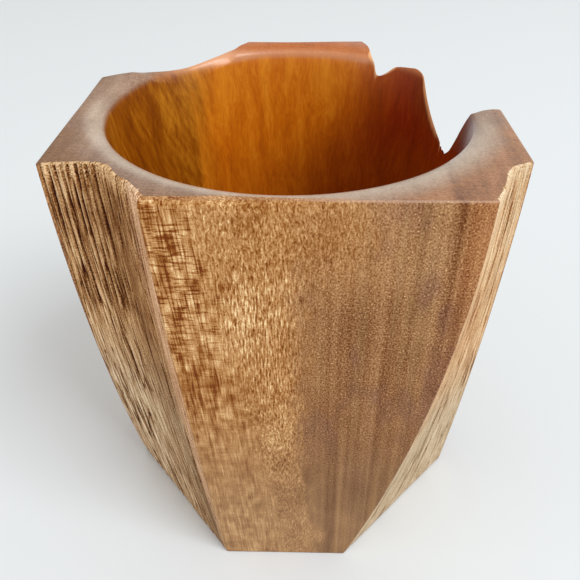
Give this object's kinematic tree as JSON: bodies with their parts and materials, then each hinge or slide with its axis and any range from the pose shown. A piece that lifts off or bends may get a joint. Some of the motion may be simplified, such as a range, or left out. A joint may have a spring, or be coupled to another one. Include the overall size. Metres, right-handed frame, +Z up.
{
  "type": "wooden cup",
  "caption": "Solid wood cup with a round tapered bore, a rolled lip, scooped corners that narrow to the foot, and an inset base plug.",
  "frame": {"origin": "on the axis of the bore, which is the centre of the block, at the base", "axes": "+Z up along the bore, -Y out of the plain front face, +X towards the corner cut that breaks through the rim"},
  "size_m": [0.089, 0.087, 0.105],
  "materials": {
    "body_wood": "fine sanded satin with open pores, lacquered inside",
    "plug_wood": "lacquered"
  },
  "bodies": {
    "root": {"cup_body": "body_wood", "base_plug": "plug_wood"}
  },
  "joints": []
}
